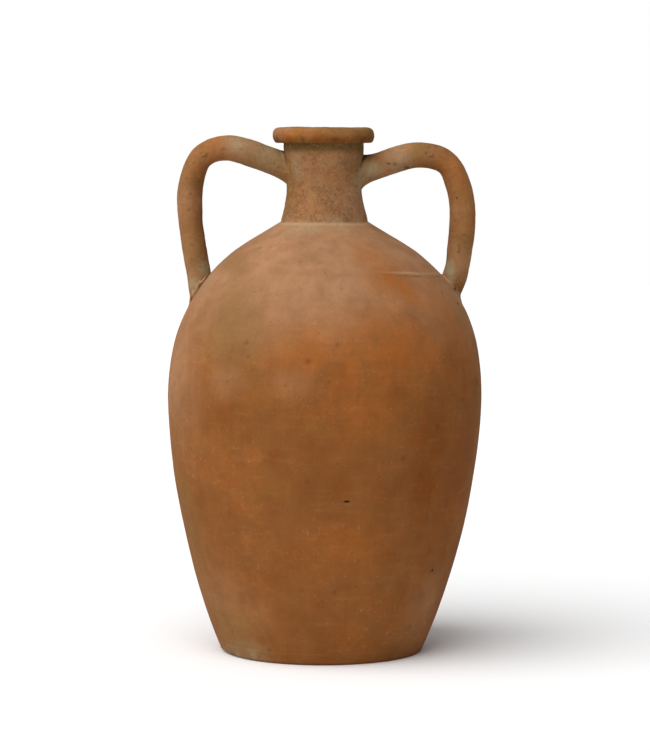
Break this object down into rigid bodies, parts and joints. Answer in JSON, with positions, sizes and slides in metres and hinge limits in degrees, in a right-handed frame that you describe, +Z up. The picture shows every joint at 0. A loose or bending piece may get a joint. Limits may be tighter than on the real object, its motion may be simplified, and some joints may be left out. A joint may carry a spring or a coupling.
{
  "type": "amphora",
  "caption": "Unglazed terracotta amphora that stands on a flat foot: egg-shaped body, short narrow neck, rolled rim and loop handles from neck to shoulder, for display or dry stems.",
  "frame": {"origin": "centre of the flat foot, on the surface the jar stands on", "axes": "+Z up along the jar's axis of revolution; the handles lie in the XZ plane, one on the -X side and one on the +X side; -Y is the front"},
  "size_m": [0.305, 0.305, 0.508],
  "materials": {
    "terracotta_wall": "matte, unglazed, mottled orange and ochre",
    "terracotta_neck": "matte, unglazed, pitted and dusty",
    "terracotta_lip": "matte, unglazed, worn smooth",
    "terracotta_handle": "matte, unglazed, hand-pulled",
    "luting_clay": "matte, rough smeared clay"
  },
  "bodies": {
    "root": {"base_slab": "terracotta_wall", "lower_wall": "terracotta_wall", "upper_wall": "terracotta_wall", "shoulder": "terracotta_wall", "neck": "terracotta_neck", "rim": "terracotta_lip", "left_handle": "terracotta_handle", "right_handle": "terracotta_handle", "left_handle_neck_wad": "luting_clay", "left_handle_shoulder_wad": "luting_clay", "right_handle_neck_wad": "luting_clay", "right_handle_shoulder_wad": "luting_clay"}
  },
  "joints": []
}
